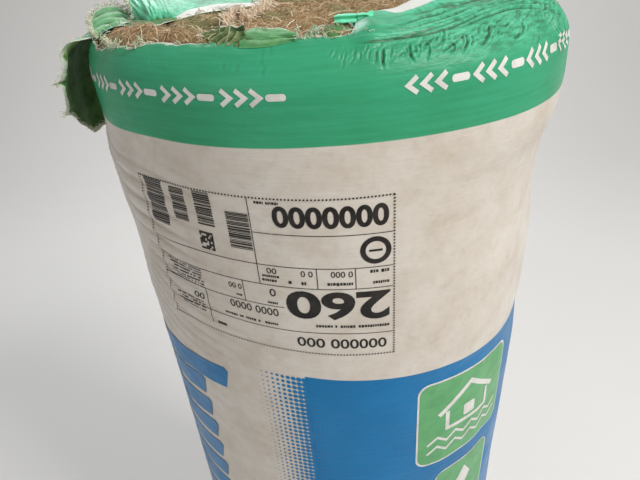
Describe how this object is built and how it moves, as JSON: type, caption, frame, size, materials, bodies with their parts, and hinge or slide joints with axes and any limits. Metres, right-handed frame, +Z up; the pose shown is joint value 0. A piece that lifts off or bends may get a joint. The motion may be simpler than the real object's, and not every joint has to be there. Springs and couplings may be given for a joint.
{
  "type": "insulation roll",
  "caption": "Tall roll of compressed glass-wool insulation in a printed plastic film sleeve, standing on its end, with the film torn open and hanging at the top.",
  "frame": {"origin": "on the roll's axis, on the floor that the roll stands on", "axes": "+Z up along the roll's axis; -Y is the side with the printed panel; -X is the side where the torn film hangs over the rim"},
  "size_m": [0.4525, 0.4208, 1.2095],
  "materials": {
    "glass_wool": "matted glass-wool fibres, tan-brown, with a pale lighter layer here and there",
    "film": "thin polyethylene film, satin gloss, white with green and blue print"
  },
  "bodies": {
    "root": {"wool_roll": "glass_wool", "film_wrap": "film"}
  },
  "joints": []
}
